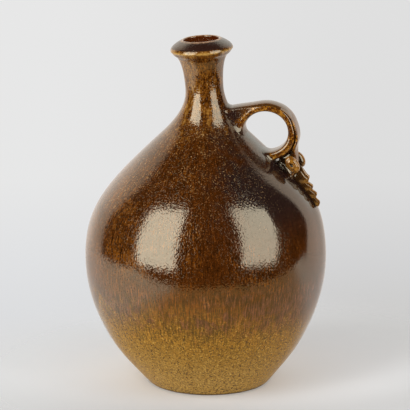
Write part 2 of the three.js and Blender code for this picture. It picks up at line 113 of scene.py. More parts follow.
def smooth(value, low, high):
    """A smooth step from 0 at low to 1 at high, which may be the smaller of the two."""
    share = np.clip((value - low) / (high - low), 0.0, 1.0)
    return share * share * (3.0 - 2.0 * share)


def bell(value, centre, width):
    return np.exp(-((value - centre) / width) ** 2)


def rounded_off(value, start):
    """1 up to the start, then a quarter round down to 0 at 1."""
    past = np.maximum(0.0, (value - start) / (1.0 - start))
    return np.sqrt(np.clip(1.0 - past ** 2, 0.0, 1.0))


def polar(degrees, length):
    return np.array([math.cos(math.radians(degrees)), math.sin(math.radians(degrees))]) * length


def unit(vectors):
    return vectors / np.maximum(np.linalg.norm(vectors, axis=-1, keepdims=True), 1e-9)


def around(count):
    """Even angles round a full turn."""
    return np.arange(count) * (2 * math.pi / count)


def bezier(points, count):
    a, b, c, d = (np.asarray(point, float) for point in points)
    t = np.linspace(0.0, 1.0, count)[:, None]
    s = 1.0 - t
    return s ** 3 * a + 3 * s * s * t * b + 3 * s * t * t * c + t ** 3 * d


class Path:
    """A polyline that is read by its length: points and unit tangents."""

    def __init__(self, points):
        self.points = np.asarray(points, float)
        steps = np.linalg.norm(np.diff(self.points, axis=0), axis=1)
        self.arc = np.concatenate([[0.0], np.cumsum(steps)])
        self.length = self.arc[-1]

    def at(self, arc):
        return np.stack([np.interp(arc, self.arc, column) for column in self.points.T], -1)

    def tangent(self, arc, step=0.2):
        ahead = self.at(np.clip(arc + step, 0, self.length))
        return unit(ahead - self.at(np.clip(arc - step, 0, self.length)))

    def even(self, count):
        return self.at(np.linspace(0.0, self.length, count))


# The outer profile as (radius, height), from the foot to the crease under the lip.
foot = np.array([FOOT_RADIUS, FOOT_ROUNDING])
belly = np.array([BELLY_RADIUS, BELLY_HEIGHT])
shoulder = np.array([SHOULDER_RADIUS, SHOULDER_HEIGHT])
waist = np.array([WAIST_RADIUS, WAIST_HEIGHT])
flare = np.array([FLARE_RADIUS, FLARE_HEIGHT])
BODY = Path(np.concatenate([
    bezier([foot, foot + polar(FOOT_SLOPE, FOOT_FULLNESS),
            belly - [0, LOWER_BELLY_FULLNESS], belly], 300),
    bezier([belly, belly + [0, UPPER_BELLY_FULLNESS],
            shoulder + polar(-SHOULDER_SLOPE, SHOULDER_FULLNESS), shoulder], 300)[1:],
    bezier([shoulder, shoulder + polar(180 - SHOULDER_SLOPE, COLLAR_FULLNESS),
            waist - [0, WAIST_FULLNESS], waist], 150)[1:],
]))
FLARE = Path(bezier([waist, waist + [0, FLARE_FULLNESS],
                     flare - polar(FLARE_SLOPE, FLARE_FULLNESS / 2), flare], 120))
VESSEL = Path(np.concatenate([BODY.even(400), FLARE.even(60)[1:]]))
SEAT_ARC = np.interp(SHOULDER_HEIGHT - SEAT_DROP, BODY.points[:, 1], BODY.arc)


def lean_axis(height):
    span = WAIST_HEIGHT - LEAN_START
    share = np.clip((height - LEAN_START) / span, 0.0, 1.0)
    bent = span * (share ** 3 - share ** 4 / 2)
    return -LEAN_ANGLE * (bent + np.maximum(0.0, height - WAIST_HEIGHT))


def lean_turn(height):
    return LEAN_ANGLE * smooth(height, LEAN_START, WAIST_HEIGHT)


def leaned(points):
    """Points of the upright vessel, moved to where the neck's lean takes them."""
    x, y, z = np.moveaxis(points, -1, 0)
    turn = lean_turn(z)
    return np.stack([lean_axis(z) + x * np.cos(turn), y, z + x * np.sin(turn)], -1)


def unleaned(points):
    x, y, z = np.moveaxis(points, -1, 0)
    height = z
    for _ in range(LEAN_ROUNDS):
        turn = lean_turn(height)
        across = (x - lean_axis(height)) / np.cos(turn)
        height = z - across * np.sin(turn)
    return np.stack([across, y, height], -1)


def vessel_distance(points):
    """How far points stand off the vessel's outside, and the outward direction there."""
    flat = unleaned(points).reshape(-1, 3)
    radius = np.hypot(flat[:, 0], flat[:, 1])
    here = np.stack([radius, flat[:, 2]], -1)
    nearest = np.empty(len(here), int)
    for start in range(0, len(here), CHUNK):
        apart = here[start:start + CHUNK, None, :] - VESSEL.points[None]
        nearest[start:start + CHUNK] = (apart ** 2).sum(-1).argmin(1)
    along = VESSEL.tangent(VESSEL.arc[nearest])
    out = np.stack([along[:, 1], -along[:, 0]], -1)
    distance = ((here - VESSEL.points[nearest]) * out).sum(-1)
    round_part = out[:, :1] * flat[:, :2] / np.maximum(radius, 1e-6)[:, None]
    normal = np.concatenate([round_part, out[:, 1:]], -1)
    return distance.reshape(points.shape[:-1]), normal.reshape(points.shape)


def ring_normals(rings):
    """Outward normals of a grid of closed rings."""
    along = np.gradient(rings, axis=0)
    around_ring = np.roll(rings, -1, axis=1) - np.roll(rings, 1, axis=1)
    return unit(np.cross(around_ring, along))


def filleted(rings, radius):
    """Rings that spread onto the vessel in a fillet where they meet it."""
    distance, normal = vessel_distance(rings)
    outward = ring_normals(rings)
    aside = unit(outward - normal * (outward * normal).sum(-1, keepdims=True))
    left = radius - np.clip(distance, 0.0, radius)
    reach = radius - np.sqrt(np.maximum(0.0, radius * radius - left * left))
    return rings + aside * reach[..., None]


def on_shoulder(run, aside, height):
    """A point on the shoulder: run down the profile from the seat, aside along Y, height off it."""
    point = BODY.at(SEAT_ARC - run)
    along = BODY.tangent(SEAT_ARC - run)
    turn = aside / point[..., 0]
    radius = point[..., 0] + along[..., 1] * height
    level = point[..., 1] - along[..., 0] * height
    return np.stack([np.cos(turn) * radius, np.sin(turn) * radius, level], -1)


RING_CENTRE = on_shoulder(np.array(0.0), np.array(0.0), RING_STANDOFF)


def on_ring(degrees, radius, aside):
    turn = np.radians(degrees)
    x = RING_CENTRE[0] + np.cos(turn) * radius * RING_STRETCH
    z = RING_CENTRE[2] + np.sin(turn) * radius
    return np.stack([x, np.broadcast_to(aside, x.shape), z], -1)


# Meshes. Each piece is a grid of closed rings, given as points, faces and values for its points.
def ring_faces(rings, sides, poles):
    """Faces between rings. With poles a point closes each end, else the last meets the first."""
    side = np.arange(sides)
    following = np.roll(side, -1)
    start = int(poles) + sides * np.arange(rings)[:, None]
    after = np.roll(start, -1, axis=0)
    quads = np.stack([start + side, start + following, after + following, after + side], -1)
    if not poles:
        return quads.reshape(-1, 4).tolist()
    last = start[-1]
    first_fan = np.stack([np.zeros_like(side), 1 + following, 1 + side], -1)
    last_fan = np.stack([np.full_like(side, last + sides), last + side, last + following], -1)
    return quads[:-1].reshape(-1, 4).tolist() + first_fan.tolist() + last_fan.tolist()


def with_ends(first, middle, last):
    return np.concatenate([[first], middle, [last]])


def turned(profile, values):
    """A solid turned from (radius, height) points that run from axis to axis or close off it."""
    on_axis = profile[0, 0] < 1e-6
    kept = slice(1, -1) if on_axis else slice(None)
    radius, height = profile[kept, :1], profile[kept, 1:]
    turn = around(TURN_SEGMENTS)
    rings = np.stack([
        radius * np.cos(turn),
        radius * np.sin(turn),
        np.broadcast_to(height, (len(height), TURN_SEGMENTS)),
    ], -1)
    points = leaned(rings).reshape(-1, 3)
    per_point = {key: np.repeat(value[kept], TURN_SEGMENTS) for key, value in values.items()}
    if on_axis:
        points = with_ends([0.0, 0.0, profile[0, 1]], points, [0.0, 0.0, profile[-1, 1]])
        for key, value in values.items():
            per_point[key] = with_ends(value[0], per_point[key], value[-1])
    return points, ring_faces(len(rings), TURN_SEGMENTS, on_axis), per_point


def lofted(rings, values):
    """A solid through closed rings, with a point in the middle of each end."""
    count, sides = rings.shape[:2]
    points = with_ends(rings[0].mean(0), rings.reshape(-1, 3), rings[-1].mean(0))
    per_point = {
        key: with_ends(np.mean(value[0]), np.asarray(value).ravel(), np.mean(value[-1]))
        for key, value in values.items()
    }
    return points, ring_faces(count, sides, True), per_point


def rounded_section(sides, squareness):
    """Width and depth shares of a rounded strap section, each from -1 to 1."""
    angle = around(sides)
    shares = np.stack([np.cos(angle), np.sin(angle)])
    return np.sign(shares) * np.abs(shares) ** squareness


def swelled(points):
    """The shoulder is a little fuller below the handle."""
    x, y, z = np.moveaxis(points, -1, 0)
    fuller = SHOULDER_SWELL * bell(z, SWELL_HEIGHT, SWELL_SPREAD)
    fuller = fuller * smooth(x, *SWELLS_OUTWARDS) * smooth(z, *SWELLS_UPWARDS)
    return np.stack([x + fuller, y, z], -1)


def make_piece(node, slot, points, faces, values):
    """A mesh object that rides on the root and stands for its CAD node."""
    name = "carafe_" + node
    mesh = bpy.data.meshes.new(name)
    mesh.from_pydata((swelled(np.asarray(points)) * METRES).tolist(), [], faces)
    mesh.validate()
    for key, value in values.items():
        attribute = mesh.attributes.new(key, "FLOAT", "POINT")
        attribute.data.foreach_set("value", np.asarray(value, np.float32).ravel())
    mesh.polygons.foreach_set("use_smooth", np.ones(len(mesh.polygons), bool))
    mesh.set_sharp_from_angle(angle=SHARP_ANGLE)
    mesh.materials.append(GLAZES[slot])
    piece = bpy.data.objects.new(name, mesh)
    bpy.context.scene.collection.objects.link(piece)
    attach(piece, "root")
    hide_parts(node)


# Materials.
class Nodes:
    """Adds nodes to a tree, one call each, and returns the output that is used."""

    def __init__(self, tree):
        self.tree = tree

    def add(self, kind, inputs, output=0, **settings):
        node = self.tree.nodes.new(kind)
        for name, value in settings.items():
            setattr(node, name, value)
        for key, value in inputs.items():
            if isinstance(value, bpy.types.NodeSocket):
                self.tree.links.new(value, node.inputs[key])
            else:
                node.inputs[key].default_value = value
        return node.outputs[output] if len(node.outputs) else None

    def math(self, operation, a, b=0.0, c=0.0):
        return self.add("ShaderNodeMath", {0: a, 1: b, 2: c}, operation=operation)

    def times(self, a, b):
        return self.math("MULTIPLY", a, b)

    def plus(self, a, b):
        return self.math("ADD", a, b)

    def weigh(self, *parts):
        """A sum of values, each times its weight."""
        (value, weight), *others = parts
        total = self.times(value, weight)
        for value, weight in others:
            total = self.math("MULTIPLY_ADD", value, weight, total)
        return total

    def span(self, value, low, high, start=0.0, end=1.0):
        """A smooth step of value from low to high."""
        return self.add(
            "ShaderNodeMapRange",
            {"Value": value, "From Min": low, "From Max": high, "To Min": start, "To Max": end},
            interpolation_type="SMOOTHSTEP",
        )

    def vector(self, operation, inputs, output="Vector"):
        return self.add("ShaderNodeVectorMath", inputs, output, operation=operation)

    def scaled(self, vector, by):
        return self.vector("MULTIPLY", {0: vector, 1: by})

    def sum(self, a, b):
        return self.vector("ADD", {0: a, 1: b})

    def level(self, vector):
        """The vector's unit direction in plan."""
        return self.vector("NORMALIZE", {0: self.scaled(vector, (1.0, 1.0, 0.0))})

    def dot(self, vector, axis):
        return self.vector("DOT_PRODUCT", {0: vector, 1: tuple(axis)}, "Value")

    def distance(self, vector, point):
        return self.vector("DISTANCE", {0: vector, 1: point}, "Value")

    def axes(self, vector):
        return self.add("ShaderNodeSeparateXYZ", {0: vector}).node.outputs

    def blend(self, factor, a, b):
        return self.add("ShaderNodeMix", {0: factor, 6: a, 7: b}, 2, data_type="RGBA")

    def noise(self, vector, size, detail=2.0, roughness=0.5):
        """Noise about zero, mostly from -1 to 1, with features of a size in the vector's unit."""
        raw = self.add("ShaderNodeTexNoise", {
            "Vector": vector, "Scale": 1.0 / size, "Detail": detail, "Roughness": roughness,
        })
        return self.math("MULTIPLY_ADD", raw, 5.0, -2.5)

    def value(self, name):
        return self.add("ShaderNodeAttribute", {}, "Fac", attribute_name=name)

    def paths(self):
        return self.add("ShaderNodeLightPath", {}).node.outputs

    def ramp(self, factor, stops):
        output = self.add("ShaderNodeValToRGB", {0: factor})
        band = output.node.color_ramp
        while len(band.elements) < len(stops):
            band.elements.new(1.0)
        for element, (place, colour) in zip(band.elements, stops):
            element.position = place
            element.color = (*colour, 1.0)
        return output


def rgb(red, green, blue):
    return (red, green, blue, 1.0)


# The run from ochre at the foot to brown, by height as a share of OCHRE_TOP.
OCHRE_TOP = 100.0
OCHRE_RUN = (
    (0.00, (0.415, 0.250, 0.060)),
    (0.14, (0.395, 0.222, 0.043)),
    (0.33, (0.295, 0.146, 0.018)),
    (0.45, (0.270, 0.124, 0.011)),
    (0.58, (0.165, 0.063, 0.008)),
    (0.70, (0.095, 0.027, 0.003)),
    (0.84, (0.062, 0.015, 0.0015)),
    (1.00, (0.058, 0.014, 0.0015)),
)
SHADE = rgb(0.022, 0.0056, 0.0006)
WARM = rgb(0.158, 0.050, 0.004)
PLUM = rgb(0.018, 0.0085, 0.0075)
NECK_DARK = rgb(0.040, 0.010, 0.001)
NECK_AMBER = rgb(0.150, 0.050, 0.005)
NECK_LIGHT = rgb(0.340, 0.165, 0.030)
BORE = rgb(0.088, 0.013, 0.0015)
LIP_DARK = rgb(0.026, 0.0085, 0.0060)
GOLD_SPECK = rgb(0.460, 0.290, 0.120)
DARK_SPECK = rgb(0.065, 0.024, 0.004)
PALE_SPECK = rgb(0.520, 0.340, 0.080)
SMOKE_AND_SHEEN = rgb(0.085, 0.031, 0.019)
GOLD = rgb(0.360, 0.150, 0.015)
BROWN = rgb(0.110, 0.040, 0.008)
UMBER = rgb(0.080, 0.019, 0.002)
POOLED_AND_SHADED = rgb(0.022, 0.009, 0.004)
BRIGHT_GOLD = rgb(0.620, 0.330, 0.070)
LIP_GOLD = rgb(0.450, 0.250, 0.060)
MOUTH_TAN = rgb(0.480, 0.270, 0.150)
BARE_CLAY = rgb(0.360, 0.230, 0.140)
FOOT_CONTACT_SHADOW = rgb(0.070, 0.038, 0.012)
SHEEN = rgb(1.0, 0.88, 0.64)
GLAZE_IOR, HANDLE_ROUGHNESS = 2.0, 0.09
HANDLE_ROOT = (25.0, 0.0, 171.0)
# Sizes of the glaze's patterns, from broad to fine, and shifts that keep two of them apart.
CLOUD_SIZE, PATCH_SIZE, MOTTLE_SIZE = 34.0, 7.0, 2.6
SPECK_SIZE, GRAIN_SIZE, SPARK_SIZE = 1.2, 1.05, 0.85
SPECK_SHIFT, SPARK_SHIFT = (40.0, 17.0, 9.0), (3.0, 77.0, 21.0)
# The tilt and scale of the glaze's fine unevenness, and the depth of its peel in metres.
UNEVEN, UNEVEN_SCALE, PEEL_DEPTH = 0.036, 1.2, 0.00005
PEEL_SIZE, PIT_SIZE, PIT_SHIFT = 1.2, 1.0, (5.0, 3.0, 71.0)


def vessel_glaze(nodes):
    """Colour and roughness of the vessel's glaze by place, with its streaks and specks, and painted
    light and shade on the sides, about the handle's root and at the foot.
    """
    place = nodes.add("ShaderNodeTexCoord", {}, "Object")
    mm = nodes.scaled(place, (1.0 / METRES,) * 3)
    x, _, z = nodes.axes(mm)
    radial = nodes.level(mm)

    def streaks(per_turn, per_height, *pattern):
        """Noise that is drawn out down the pot."""
        drawn = nodes.sum(nodes.scaled(radial, (per_turn, per_turn, 0.0)),
                          nodes.scaled(mm, (0.0, 0.0, per_height)))
        return nodes.noise(drawn, *pattern)

    streak = streaks(84.0, 0.16, 0.95, 2.0, 0.6)
    neck_streak = streaks(13.0, 0.40, 1.5, 3.0, 0.7)
    cloud = nodes.noise(mm, CLOUD_SIZE, 2.0)
    patch = nodes.noise(mm, PATCH_SIZE, 3.0, 0.55)
    mottle = nodes.noise(mm, MOTTLE_SIZE, 3.0, 0.65)
    grain = nodes.noise(mm, GRAIN_SIZE, 2.0, 0.6)
    speck = nodes.noise(nodes.sum(mm, SPECK_SHIFT), SPECK_SIZE, 1.0)
    spark = nodes.noise(nodes.sum(mm, SPARK_SHIFT), SPARK_SIZE, 1.0)

    # Down the body the brown runs out to ochre in streaks, with a smoky band between that grows
    # towards the sides as a painted sheen. The brown also reaches lower on the right and the ochre
    # higher on the left, as painted light from the left.
    height = nodes.plus(z, nodes.weigh((streak, 6.0), (patch, 5.0), (mottle, 4.0), (x, 0.11)))
    colour = nodes.ramp(nodes.math("DIVIDE", height, OCHRE_TOP), OCHRE_RUN)
    low = nodes.span(height, 72.0, 40.0)
    upper = nodes.span(height, 62.0, 84.0)
    off_centre = nodes.math("ABSOLUTE", x)
    smoke_and_sheen = nodes.weigh((patch, 0.8), (streak, 0.6), (cloud, 0.6), (off_centre, 0.010))
    band = nodes.times(nodes.span(z, 40.0, 60.0), nodes.span(z, 86.0, 66.0))
    smoke_and_sheen = nodes.times(nodes.span(smoke_and_sheen, 0.2, 0.95), band)
    colour = nodes.blend(nodes.times(smoke_and_sheen, 0.8), colour, SMOKE_AND_SHEEN)

    # Above, dark and warm mottling, warmer away from the handle and plum-black on its side.
    tone = nodes.weigh((mottle, 0.40), (streak, 0.45), (patch, 0.25), (grain, 0.35))
    mottled = nodes.times(upper, 0.9)
    colour = nodes.blend(nodes.times(nodes.span(tone, 0.2, -0.8), mottled), colour, SHADE)
    warm = nodes.plus(tone, nodes.weigh((cloud, 0.45), (x, -0.006)))
    colour = nodes.blend(nodes.times(nodes.span(warm, 0.0, 1.2), mottled), colour, WARM)
    plum = nodes.weigh((cloud, 0.35), (patch, 0.30), (mottle, 0.25))
    plum = nodes.span(nodes.plus(nodes.times(x, 0.026), plum), 0.10, 0.95)
    plum = nodes.times(plum, nodes.span(z, 96.0, 128.0))
    colour = nodes.blend(nodes.times(plum, nodes.span(z, 186.0, 168.0)), colour, PLUM)

    # The neck is amber with short dark flecks.
    fleck = nodes.weigh((neck_streak, 0.8), (grain, 0.3), (patch, 0.35), (x, -0.02))
    neck = nodes.blend(nodes.span(fleck, -0.5, 0.2), NECK_DARK, NECK_AMBER)
    neck = nodes.blend(nodes.times(nodes.span(fleck, 0.2, 1.0), 0.9), neck, NECK_LIGHT)
    on_neck = nodes.plus(z, nodes.weigh((neck_streak, 8.0), (patch, 5.0)))
    colour = nodes.blend(nodes.span(on_neck, 160.0, 186.0), colour, neck)

    # Dark about the root of the handle, partly glaze pooled there and partly painted shade in the
    # corner where the handle meets the neck.
    root = nodes.plus(nodes.distance(mm, HANDLE_ROOT), nodes.weigh((mottle, 2.5), (patch, 2.0)))
    colour = nodes.blend(nodes.times(nodes.span(root, 21.0, 10.0), 0.9), colour, PLUM)

    # Gold specks above, dark and pale ones in the ochre.
    gold = nodes.times(nodes.span(spark, 0.55, 1.2), nodes.span(z, 90.0, 135.0, 0.15, 0.8))
    thick = nodes.weigh((patch, 0.7), (cloud, 0.7), (x, -0.012))
    gold = nodes.times(gold, nodes.span(thick, -0.9, 0.9, 0.15, 1.0))
    gold = nodes.times(gold, nodes.span(z, 182.0, 160.0))
    colour = nodes.blend(nodes.times(gold, upper), colour, GOLD_SPECK)
    for specks, share, tint in (
        (nodes.span(speck, 0.46, 0.74), low, DARK_SPECK),
        (nodes.span(grain, -0.1, -1.1), nodes.times(low, 0.5), DARK_SPECK),
        (nodes.span(grain, 0.4, 1.1), nodes.times(low, 0.6), PALE_SPECK),
    ):
        colour = nodes.blend(nodes.times(specks, share), colour, tint)

    # Fine streaks and grain all over, and a thin painted shadow where the foot meets the ground.
    combed = nodes.times(nodes.span(z, 26.0, 58.0), nodes.span(z, 84.0, 70.0, 0.26, 1.15))
    grained = nodes.times(grain, nodes.span(z, 70.0, 45.0, 0.15, 0.38))
    vary = nodes.plus(1.0, nodes.plus(nodes.times(streak, combed), grained))
    colour = nodes.vector("SCALE", {0: colour, "Scale": nodes.math("MAXIMUM", vary, 0.38)})
    colour = nodes.blend(nodes.span(z, 1.4, 0.6, 0.0, 0.85), colour, FOOT_CONTACT_SHADOW)
    roughness = nodes.plus(nodes.span(height, 4.0, 70.0, 0.12, 0.08), nodes.times(patch, 0.012))
    return mm, z, colour, roughness, patch


def relief(nodes, mm):
    """The glaze's orange peel and pits, and the unevenness that breaks up reflections' edges."""
    x, _, z = nodes.axes(mm)
    # The glaze lies calmer on the handle's side.
    handle_side = nodes.plus(x, nodes.span(z, 106.0, 120.0, -20.0, 0.0))
    calm = nodes.span(handle_side, 34.0, 46.0, 1.0, 0.28)
    cells = nodes.add("ShaderNodeTexVoronoi", {"Vector": mm, "Scale": UNEVEN_SCALE}, "Color")
    tilt = nodes.vector("SCALE", {
        0: nodes.sum(cells, (-0.5, -0.5, -0.5)), "Scale": nodes.times(calm, UNEVEN),
    })
    facing = nodes.add("ShaderNodeNewGeometry", {}, "Normal")
    normal = nodes.vector("NORMALIZE", {0: nodes.sum(facing, tilt)})
    peel = nodes.noise(mm, PEEL_SIZE, 1.0)
    pits = nodes.span(nodes.noise(nodes.sum(mm, PIT_SHIFT), PIT_SIZE, 0.0), 0.6, 1.0)
    height = nodes.plus(nodes.times(peel, 0.3), nodes.times(pits, -0.5))
    return nodes.add("ShaderNodeBump", {
        "Distance": PEEL_DEPTH, "Height": nodes.times(height, calm), "Normal": normal,
    })


def new_material(name):
    material = bpy.data.materials.new(name)
    material.use_nodes = True
    material.node_tree.nodes.clear()
    return material, Nodes(material.node_tree)


def finish_material(material, nodes, colour, roughness, normal):
    shader = nodes.add("ShaderNodeBsdfPrincipled", {
        "Base Color": colour, "Roughness": roughness, "Normal": normal,
        "IOR": GLAZE_IOR, "Specular Tint": SHEEN,
    })
    nodes.add("ShaderNodeOutputMaterial", {0: shader})
    return material


def vessel_material(name):
    """The vessel's glaze, dark where it pools on the lip and worn at the lip's edges."""
    material, nodes = new_material(name)
    mm, z, colour, roughness, patch = vessel_glaze(nodes)
    pool_and_shade, bare = nodes.value("pool_and_shade"), nodes.value("bare")
    dark = nodes.plus(pool_and_shade, nodes.times(patch, 0.12))
    colour = nodes.blend(nodes.span(dark, 0.2, 0.8), colour, LIP_DARK)
    worn = nodes.noise(mm, 2.2, 2.0)
    edge = nodes.times(nodes.value("edge"), nodes.span(worn, -0.8, 0.6, 0.25, 0.95))
    edge_colour = nodes.blend(nodes.span(z, 217.0, 219.5), LIP_GOLD, MOUTH_TAN)
    colour = nodes.blend(edge, colour, edge_colour)
    colour = nodes.blend(nodes.times(nodes.value("inside"), 0.85), colour, BORE)
    colour = nodes.blend(bare, colour, BARE_CLAY)
    roughness = nodes.plus(roughness, nodes.weigh((bare, 0.4), (pool_and_shade, 0.16)))
    return finish_material(material, nodes, colour, roughness, relief(nodes, mm))


def handle_material(name, mottling):
    """Glaze that breaks gold over edges; mottling says how strongly it varies there."""
    material, nodes = new_material(name)
    mm, _, colour, _, _ = vessel_glaze(nodes)
    mottle = nodes.noise(mm, 2.4, 3.0, 0.7)
    fine = nodes.noise(nodes.sum(mm, (7.0, 31.0, 3.0)), 1.4, 2.0)
    varied = nodes.weigh((mottle, 0.7 * mottling), (fine, 0.5 * mottling))
    break_up = nodes.plus(varied, 0.35 - 0.55 * mottling)
    edge = nodes.value("edge")
    broken = nodes.blend(nodes.span(break_up, -0.45, 0.45), UMBER, GOLD)
    own = nodes.blend(edge, BROWN, broken)
    bright = nodes.times(nodes.span(break_up, 0.5, 1.2), nodes.times(edge, 0.9))
    own = nodes.blend(bright, own, BRIGHT_GOLD)
    own = nodes.blend(nodes.times(nodes.span(fine, -0.3, -1.1), 0.6 * mottling), own, POOLED_AND_SHADED)
    # Darker where the glaze pools and where painted shade lies under, between and against the
    # pieces.
    own = nodes.blend(nodes.value("pool_and_shade"), own, POOLED_AND_SHADED)
    colour = nodes.blend(nodes.value("merge"), own, colour)
    return finish_material(material, nodes, colour, HANDLE_ROUGHNESS, relief(nodes, mm))


GLAZES = {
    "body_glaze": vessel_material("body_glaze"),
    "neck_glaze": vessel_material("neck_glaze"),
    "handle_glaze": handle_material("handle_glaze", 1.0),
    "sprig_glaze": handle_material("sprig_glaze", 0.45),
}


# Body and neck.
def make_body():
    outer = BODY.even(230)
    outer[:, 0] += FOOT_BULGE * bell(outer[:, 1], FOOT_BULGE_HEIGHT, FOOT_BULGE_SPREAD)
    outer = outer[outer[:, 1] > FOOT_CURVE_HEIGHT]
    arc = np.linspace(0.0, BODY.length, 70)
    along = BODY.tangent(arc)
    inner = BODY.at(arc)
    wall = mix(BODY_WALL, NECK_WALL, smooth(inner[:, 1:], SHOULDER_HEIGHT, WAIST_HEIGHT))
    inner = inner - np.stack([along[:, 1], -along[:, 0]], -1) * wall
    inner = inner[inner[:, 1] > FLOOR_THICKNESS + BODY_WALL / 2][::-1]
    rim_outer = FOOT_RADIUS - FOOT_ROUNDING
    rim_inner = rim_outer - FOOT_RIM_WIDTH
    underside = [
        [0.0, FOOT_RECESS], [rim_inner - FOOT_RECESS - 1.0, FOOT_RECESS],
        [rim_inner - FOOT_RECESS, FOOT_RECESS], [rim_inner - 0.4, 0.35],
        [rim_inner, 0.0], [rim_inner + 0.6, 0.0], [rim_outer - 0.6, 0.0],
    ]
    slope = outer[2] - outer[0]
    hold = outer[0] - slope * (outer[0, 1] / slope[1])
    start = np.array([rim_outer, 0.0])
    rounding = bezier(
        [start, mix(start, hold, 2 / 3), mix(outer[0], hold, 2 / 3), outer[0]], 24)[:-1]
    floor = [[FOOT_RADIUS - BODY_WALL / 2, FLOOR_THICKNESS], [0.0, FLOOR_THICKNESS]]
    profile = np.concatenate([underside, rounding, outer, inner, floor])
    plain = np.zeros(len(profile))
    bare, inside = plain.copy(), plain.copy()
    bare[:len(underside) + 2] = 1.0
    inside[len(underside) + len(rounding) + len(outer):] = 1.0
    points, faces, values = turned(
        profile, {"bare": bare, "edge": plain, "pool_and_shade": plain, "inside": inside})
    # The foot was thrown a little off the belly's axis.
    low = np.clip(1.0 - points[:, 2] / FOOT_DRIFT_HEIGHT, 0.0, 1.0)
    points[:, 0] += FOOT_DRIFT * low ** 2
    make_piece("body", "body_glaze", points, faces, values)


def make_neck():
    # The lip overhangs to an arris, and the dome leans inwards from it.
    arris = np.array([LIP_RADIUS, LIP_EQUATOR - ARRIS_DROP])
    mouth = np.array([MOUTH_RADIUS + MOUTH_BEVEL, MOUTH_HEIGHT])
    low, high = arris + ARRIS_UNDER, arris + ARRIS_OVER
    under = np.concatenate([
        bezier([flare, flare + polar(FLARE_SLOPE, 1.0), low + [-0.7, -0.85], low], 12)[1:],
        bezier([low, arris - [0.1, 0.12], arris, high], 10)[1:],
    ])
    crown = [(mouth[0] + LIP_RADIUS) / 2, mix(LIP_EQUATOR, mouth[1], DOME_HEIGHT)]
    over = bezier([high, high + polar(DOME_SLOPE, DOME_FULLNESS), crown, mouth], 40)[1:]
    turn = np.radians(np.linspace(90, 180, 8))[1:]
    edge_round = np.stack([np.cos(turn), np.sin(turn)], -1) * MOUTH_BEVEL
    edge_round = mouth - [0.0, MOUTH_BEVEL] + edge_round
    bore_radius = WAIST_RADIUS - NECK_WALL
    bore = bezier([[MOUTH_RADIUS, MOUTH_HEIGHT - MOUTH_BEVEL],
                   [MOUTH_RADIUS, MOUTH_HEIGHT - MOUTH_FULLNESS],
                   [bore_radius, FLARE_HEIGHT - BORE_FULLNESS],
                   [bore_radius, WAIST_HEIGHT]], 40)[1:]
    wall = FLARE.even(60)
    profile = np.concatenate([wall, under, over, edge_round, bore])
    dome_start = len(wall) + len(under)
    dome_end = dome_start + len(over)
    rim_start = dome_end - MOUTH_EDGE_BEFORE
    rim_end = rim_start + len(MOUTH_EDGE)
    bare, pool_and_shade, inside = np.zeros((3, len(profile)))
    edge = smooth(np.hypot(*(profile - arris).T), 1.6, 0.3)
    edge[rim_start:rim_end] = MOUTH_EDGE
    dome = slice(dome_start, dome_end - 1)
    pool_and_shade[dome] = smooth(profile[dome, 1], LIP_EQUATOR + 0.6, LIP_EQUATOR + 2.8)
    inside[rim_end:] = 1.0
    values = {"bare": bare, "edge": edge, "pool_and_shade": pool_and_shade, "inside": inside}
    make_piece("neck", "neck_glaze", *turned(profile, values))


# Handle: the strap curled into a ring, and the tail that runs from it down to the shoulder.
def tail_share(degrees):
    return np.interp(degrees, (TAIL_LEAVE, TAIL_START), (1.0, 0.0))


def tail_thickness(share):
    return mix(TAIL_TIP_THICKNESS, TAIL_LEAVE_THICKNESS, smooth(share, 0.0, 1.0))


def strap_thickness(degrees):
    """The strap's thickness round the ring, less the rebate that takes the tail."""
    share = tail_share(degrees)
    rebate = tail_thickness(share) - TAIL_PRESS
    rebate = rebate - TAIL_RISE * smooth(share, TAIL_RISES_FROM, 1.0)
    covered = smooth(degrees, TAIL_LEAVE - REBATE_END, TAIL_LEAVE)
    covered = covered * smooth(degrees, TAIL_START + REBATE_BEFORE, TAIL_START - REBATE_AFTER)
    return mix(STRAP_THICKNESS, STRAP_END_THICKNESS, share) - rebate * covered


def tail_centre_radius(degrees, thickness):
    return RING_BORE_RADIUS + strap_thickness(degrees) - TAIL_PRESS + thickness / 2


def crown_at(degrees):
    return STRAP_CROWN * smooth(degrees, *CROWN_RISES)


def make_strap():
    degrees = np.linspace(RING_START, RING_END, 300)[:, None]
    across, depth = rounded_section(72, 0.6)
    swell = WEB_SWELL * np.interp(degrees, WEB_SWELLS, (0.0, 1.0)) ** WEB_CURVE
    half_width = mix(STRAP_WIDTH, ROOT_WIDTH, smooth(degrees, *ROOT_WIDENS)) / 2
    # The web rises from the outer face within its edges, and a shallow groove runs along each.
    outer_face = np.clip(depth * FACE_SHARPNESS, 0.0, 1.0)
    web = swell * outer_face * smooth(np.abs(across), *WEB_EDGES)
    groove = GROOVE_DEPTH * bell(np.abs(across), GROOVE_PLACE, GROOVE_WIDTH) * (depth > 0)
    thickness = strap_thickness(degrees) + ROOT_SWELL * smooth(degrees, *ROOT_SWELLS)
    crown = crown_at(degrees) * (1.0 - across ** 2) * outer_face
    radius = RING_BORE_RADIUS + thickness * (depth + 1) / 2 + web + crown - groove
    rings = on_ring(np.broadcast_to(degrees, radius.shape), radius, across * half_width)
    rings = filleted(rings, STRAP_FILLET)
    distance, _ = vessel_distance(rings)
    rim = smooth(np.abs(across), 0.84, 0.95)
    walled = smooth(web, 0.3, 1.5)
    make_piece("handle_strap", "handle_glaze", *lofted(rings, {
        "edge": rim * (1.0 - walled) * mix(1.0, 0.25, smooth(degrees, 190.0, RING_START)),
        "pool_and_shade": np.broadcast_to(groove * 2.5, radius.shape),
        "merge": np.maximum(smooth(distance, 3.0, 0.3), walled * smooth(degrees, 120.0, 150.0)),
    }))


STRAP_RUN = math.sqrt((RING_BORE_RADIUS + STRAP_THICKNESS / 2) ** 2 - RING_STANDOFF ** 2)
TAIL_FOOT = STRAP_RUN + SCROLL_LENGTH + TAIL_FOOT_RUN


